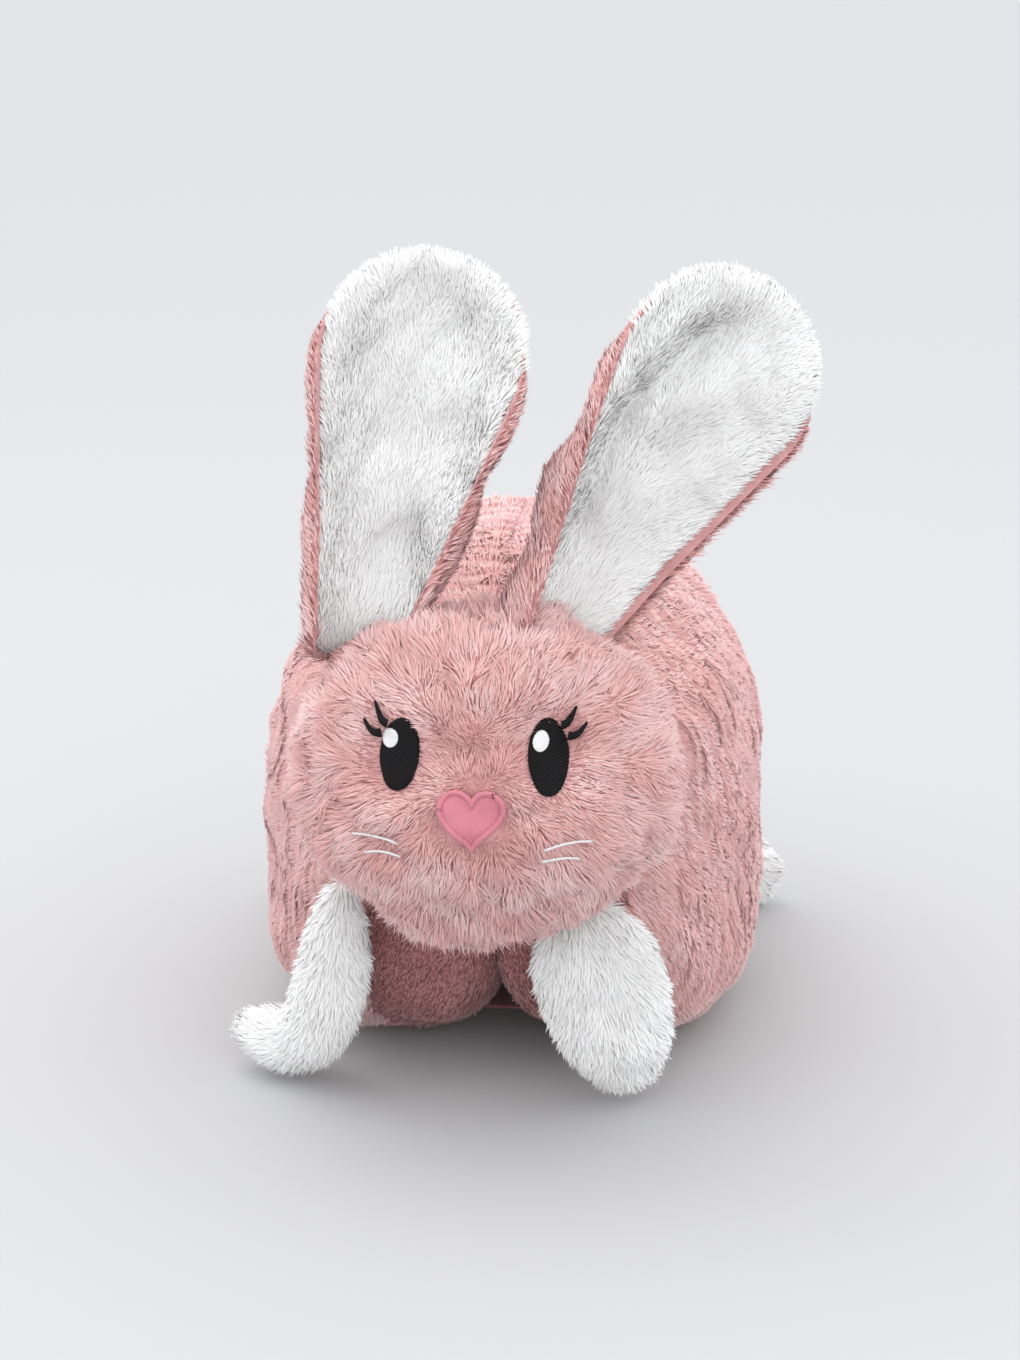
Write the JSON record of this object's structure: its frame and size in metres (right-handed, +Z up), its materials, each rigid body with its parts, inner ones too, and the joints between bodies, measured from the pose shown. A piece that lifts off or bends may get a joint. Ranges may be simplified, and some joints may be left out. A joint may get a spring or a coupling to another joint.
{
  "type": "stuffed bunny rabbit",
  "caption": "Plush rabbit made as a fold-up pillow: two stuffed lobes that open flat from the spine, soft head, long ears, flat paws and a closing strap.",
  "frame": {"origin": "middle of the closing strap's underside, on the plane that the folded body rests on, midway between the lobes", "axes": "+Z up, the face looks along -Y, +X is the rabbit's own left"},
  "size_m": [0.3088, 0.4792, 0.4559],
  "materials": {
    "pink_long_plush": "long soft pile, matt with a faint sheen",
    "pink_short_plush": "short brushed pile, matt",
    "white_plush": "soft white pile, matt",
    "polyester_fill": "loose hollow fibre",
    "black_embroidery": "satin stitch with a thread sheen",
    "white_embroidery": "satin stitch",
    "rose_embroidery": "satin stitch with a thread sheen",
    "pink_thread": "sewing thread",
    "hook_and_loop": "woven nylon tape"
  },
  "bodies": {
    "root": {"spine_cover": "pink_long_plush", "spine_stuffing": "polyester_fill", "neck_seam": "pink_thread"},
    "left_half": {"left_side_cover": "pink_long_plush", "left_belly_lining": "pink_short_plush", "left_stuffing": "polyester_fill", "strap_loop_patch": "hook_and_loop"},
    "right_half": {"right_side_cover": "pink_long_plush", "right_belly_lining": "pink_short_plush", "right_stuffing": "polyester_fill", "strap_sewn_end": "pink_short_plush"},
    "strap": {"closing_strap": "pink_short_plush", "strap_hook_tape": "hook_and_loop"},
    "head": {"head_face_cover": "pink_long_plush", "head_back_cover": "pink_long_plush", "head_stuffing": "polyester_fill", "left_eye_patch": "black_embroidery", "right_eye_patch": "black_embroidery", "left_eye_highlight": "white_embroidery", "right_eye_highlight": "white_embroidery", "left_eyelashes": "black_embroidery", "right_eyelashes": "black_embroidery", "nose_heart": "rose_embroidery", "nose_border": "rose_embroidery", "left_whiskers": "white_embroidery", "right_whiskers": "white_embroidery"},
    "left_ear": {"left_ear_front": "white_plush", "left_ear_back": "pink_long_plush"},
    "right_ear": {"right_ear_front": "white_plush", "right_ear_back": "pink_long_plush"},
    "left_front_paw": {"left_front_paw_cover": "white_plush", "left_front_paw_stuffing": "polyester_fill"},
    "right_front_paw": {"right_front_paw_cover": "white_plush", "right_front_paw_stuffing": "polyester_fill"},
    "left_rear_foot": {"left_rear_foot_cover": "white_plush", "left_rear_foot_stuffing": "polyester_fill"},
    "right_rear_foot": {"right_rear_foot_cover": "white_plush", "right_rear_foot_stuffing": "polyester_fill"},
    "tail": {"tail_pompom": "white_plush"}
  },
  "joints": [
    {"name": "left_half_unfold", "type": "hinge", "parent": "root", "child": "left_half", "pos_m": [0.09657, 0, 0.23517], "axis": [0, -1, 0], "range_deg": [0, 90]},
    {"name": "right_half_unfold", "type": "hinge", "parent": "root", "child": "right_half", "pos_m": [-0.09657, 0, 0.23517], "axis": [0, 1, 0], "range_deg": [0, 90]},
    {"name": "strap_peel", "type": "hinge", "parent": "right_half", "child": "strap", "pos_m": [-0.046, 0, 0], "axis": [0, 1, 0], "range_deg": [0, 95]},
    {"name": "head_nod", "type": "hinge", "parent": "root", "child": "head", "pos_m": [0, -0.15, 0.2], "axis": [1, 0, 0], "range_deg": [-8, 8], "stiffness_Nm_per_rad": 1, "springref_deg": -0.8},
    {"name": "left_ear_flop", "type": "hinge", "parent": "head", "child": "left_ear", "pos_m": [0.047, -0.142, 0.268], "axis": [0.8988, 0, -0.4384], "range_deg": [-60, 35], "stiffness_Nm_per_rad": 0.06},
    {"name": "right_ear_flop", "type": "hinge", "parent": "head", "child": "right_ear", "pos_m": [-0.058, -0.142, 0.268], "axis": [0.9848, 0, -0.1736], "range_deg": [-60, 35], "stiffness_Nm_per_rad": 0.06},
    {"name": "left_front_paw_swing", "type": "hinge", "parent": "left_half", "child": "left_front_paw", "pos_m": [0.05, -0.142, 0.11], "axis": [-1, 0, 0], "range_deg": [0, 40]},
    {"name": "right_front_paw_swing", "type": "hinge", "parent": "right_half", "child": "right_front_paw", "pos_m": [-0.076, -0.1405, 0.114], "axis": [-1, 0, 0], "range_deg": [0, 40]},
    {"name": "left_rear_foot_lift", "type": "hinge", "parent": "left_half", "child": "left_rear_foot", "pos_m": [0.106, 0.15, 0.042], "axis": [0, -1, 0], "range_deg": [0, 40]},
    {"name": "right_rear_foot_lift", "type": "hinge", "parent": "right_half", "child": "right_rear_foot", "pos_m": [-0.106, 0.15, 0.042], "axis": [0, 1, 0], "range_deg": [0, 40]},
    {"name": "tail_wag", "type": "hinge", "parent": "root", "child": "tail", "pos_m": [0, 0.174, 0.165], "axis": [0, 0, 1], "range_deg": [-12, 12], "stiffness_Nm_per_rad": 0.02}
  ],
  "couplings": [
    {"joint": "right_half_unfold", "follows": "left_half_unfold", "ratio": 1}
  ]
}
